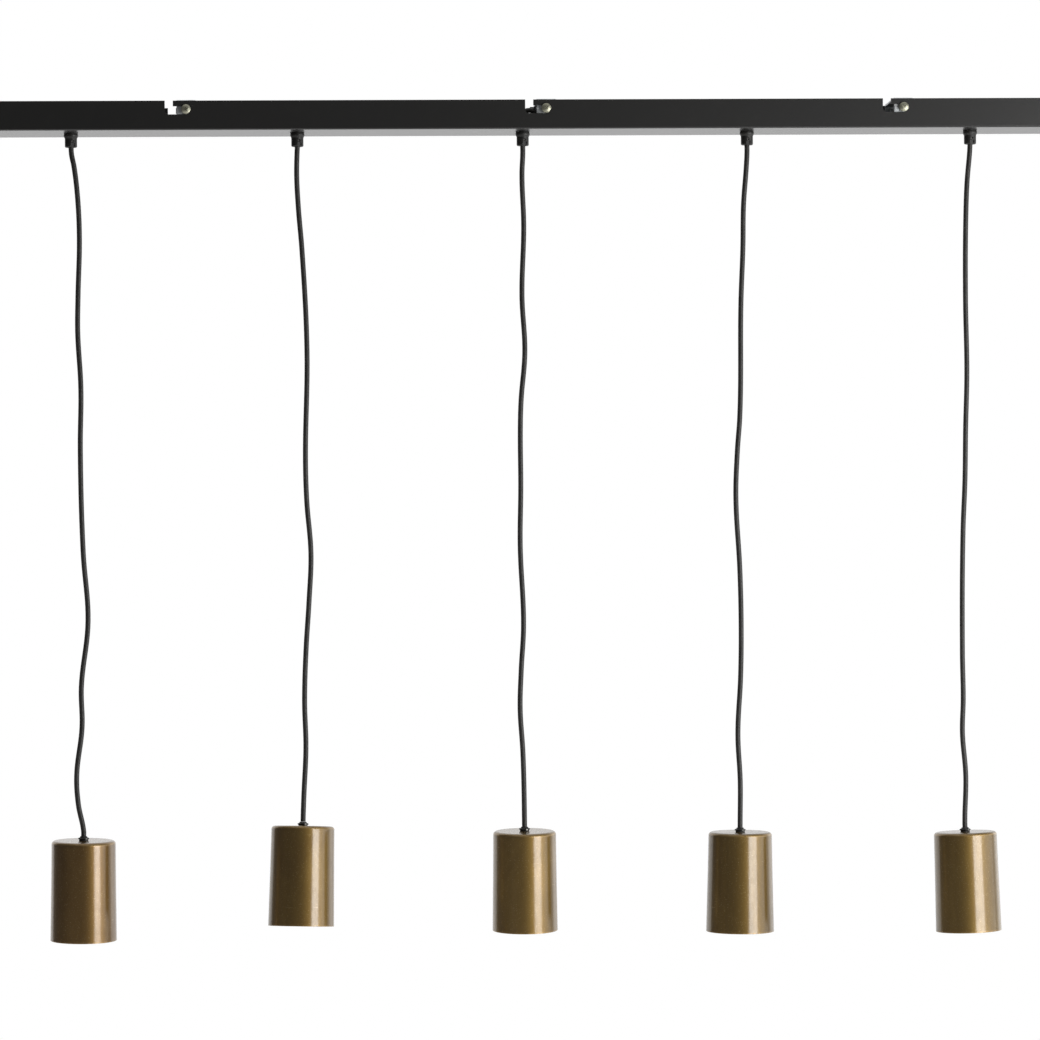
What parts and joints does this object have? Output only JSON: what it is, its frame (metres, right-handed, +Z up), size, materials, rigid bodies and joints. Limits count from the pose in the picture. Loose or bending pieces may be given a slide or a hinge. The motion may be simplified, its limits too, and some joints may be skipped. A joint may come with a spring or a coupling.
{
  "type": "pendant light",
  "caption": "Linear pendant light: a long black ceiling channel on hook-on brackets, with cup-shaped antique-brass shades hanging from it on slightly wavy black cords.",
  "frame": {"origin": "middle of the middle bracket's upper face, on the ceiling", "axes": "+X along the channel to the right, +Z up into the ceiling, -Y towards the pictured front"},
  "size_m": [1.2, 0.085, 0.8902],
  "materials": {
    "black_paint": "smooth black lacquer, semi-gloss",
    "zinc": "galvanised, dull",
    "screw_zinc": "yellow-passivated zinc plating",
    "dark_steel": "blackened",
    "black_fitting": "black, satin",
    "cord": "smooth extruded sheath, slightly waxy",
    "wire_insulation": "smooth extruded, one colour per core",
    "earth_insulation": "smooth extruded, green and yellow",
    "block_plastic": "moulded, matt",
    "holder_plastic": "moulded, satin black",
    "contact_brass": "bright pressed brass",
    "antique_brass": "antique patina, lacquered, slightly mottled"
  },
  "bodies": {
    "brackets": {"bracket_left": "zinc", "bracket_middle": "zinc", "bracket_right": "zinc", "bracket_screws": "screw_zinc"},
    "canopy": {"canopy": "black_paint", "grip_locknuts": "zinc", "grip_screws": "dark_steel", "cord_tails": "cord", "conductors": "wire_insulation", "terminal_block": "block_plastic", "terminal_inserts": "contact_brass", "terminal_screws": "zinc", "earth_stud": "zinc", "earth_nut": "zinc", "earth_lead": "earth_insulation", "grip_1": "black_fitting", "grip_2": "black_fitting", "grip_3": "black_fitting", "grip_4": "black_fitting", "grip_5": "black_fitting"},
    "cord_1": {"cord_1": "cord"},
    "lamp_1": {"collar_1": "black_fitting", "collar_screw_1": "screw_zinc", "cord_end_1": "cord", "shade_1": "antique_brass", "holder_cap_1": "holder_plastic", "holder_body_1": "holder_plastic", "lamp_contacts_1": "contact_brass"},
    "cord_2": {"cord_2": "cord"},
    "lamp_2": {"collar_2": "black_fitting", "collar_screw_2": "screw_zinc", "cord_end_2": "cord", "shade_2": "antique_brass", "holder_cap_2": "holder_plastic", "holder_body_2": "holder_plastic", "lamp_contacts_2": "contact_brass"},
    "cord_3": {"cord_3": "cord"},
    "lamp_3": {"collar_3": "black_fitting", "collar_screw_3": "screw_zinc", "cord_end_3": "cord", "shade_3": "antique_brass", "holder_cap_3": "holder_plastic", "holder_body_3": "holder_plastic", "lamp_contacts_3": "contact_brass"},
    "cord_4": {"cord_4": "cord"},
    "lamp_4": {"collar_4": "black_fitting", "collar_screw_4": "screw_zinc", "cord_end_4": "cord", "shade_4": "antique_brass", "holder_cap_4": "holder_plastic", "holder_body_4": "holder_plastic", "lamp_contacts_4": "contact_brass"},
    "cord_5": {"cord_5": "cord"},
    "lamp_5": {"collar_5": "black_fitting", "collar_screw_5": "screw_zinc", "cord_end_5": "cord", "shade_5": "antique_brass", "holder_cap_5": "holder_plastic", "holder_body_5": "holder_plastic", "lamp_contacts_5": "contact_brass"}
  },
  "joints": [
    {"name": "canopy_unhook", "type": "slide", "parent": "brackets", "child": "canopy", "axis": [1, 0, 0], "range_m": [0, 0.018]},
    {"name": "pendant_1_swing", "type": "hinge", "parent": "canopy", "child": "cord_1", "pos_m": [-0.5035, 0, -0.0455], "axis": [1, 0, 0], "range_deg": [-25, 25]},
    {"name": "pendant_1_height", "type": "slide", "parent": "cord_1", "child": "lamp_1", "axis": [0, 0, 1], "range_m": [0, 0.4], "deforming": ["cord_1"]},
    {"name": "pendant_2_swing", "type": "hinge", "parent": "canopy", "child": "cord_2", "pos_m": [-0.2635, 0, -0.0455], "axis": [1, 0, 0], "range_deg": [-25, 25]},
    {"name": "pendant_2_height", "type": "slide", "parent": "cord_2", "child": "lamp_2", "axis": [0, 0, 1], "range_m": [0, 0.4], "deforming": ["cord_2"]},
    {"name": "pendant_3_swing", "type": "hinge", "parent": "canopy", "child": "cord_3", "pos_m": [-0.0235, 0, -0.0455], "axis": [1, 0, 0], "range_deg": [-25, 25]},
    {"name": "pendant_3_height", "type": "slide", "parent": "cord_3", "child": "lamp_3", "axis": [0, 0, 1], "range_m": [0, 0.4], "deforming": ["cord_3"]},
    {"name": "pendant_4_swing", "type": "hinge", "parent": "canopy", "child": "cord_4", "pos_m": [0.2165, 0, -0.0455], "axis": [1, 0, 0], "range_deg": [-25, 25]},
    {"name": "pendant_4_height", "type": "slide", "parent": "cord_4", "child": "lamp_4", "axis": [0, 0, 1], "range_m": [0, 0.4], "deforming": ["cord_4"]},
    {"name": "pendant_5_swing", "type": "hinge", "parent": "canopy", "child": "cord_5", "pos_m": [0.4565, 0, -0.0455], "axis": [1, 0, 0], "range_deg": [-25, 25]},
    {"name": "pendant_5_height", "type": "slide", "parent": "cord_5", "child": "lamp_5", "axis": [0, 0, 1], "range_m": [0, 0.4], "deforming": ["cord_5"]}
  ]
}
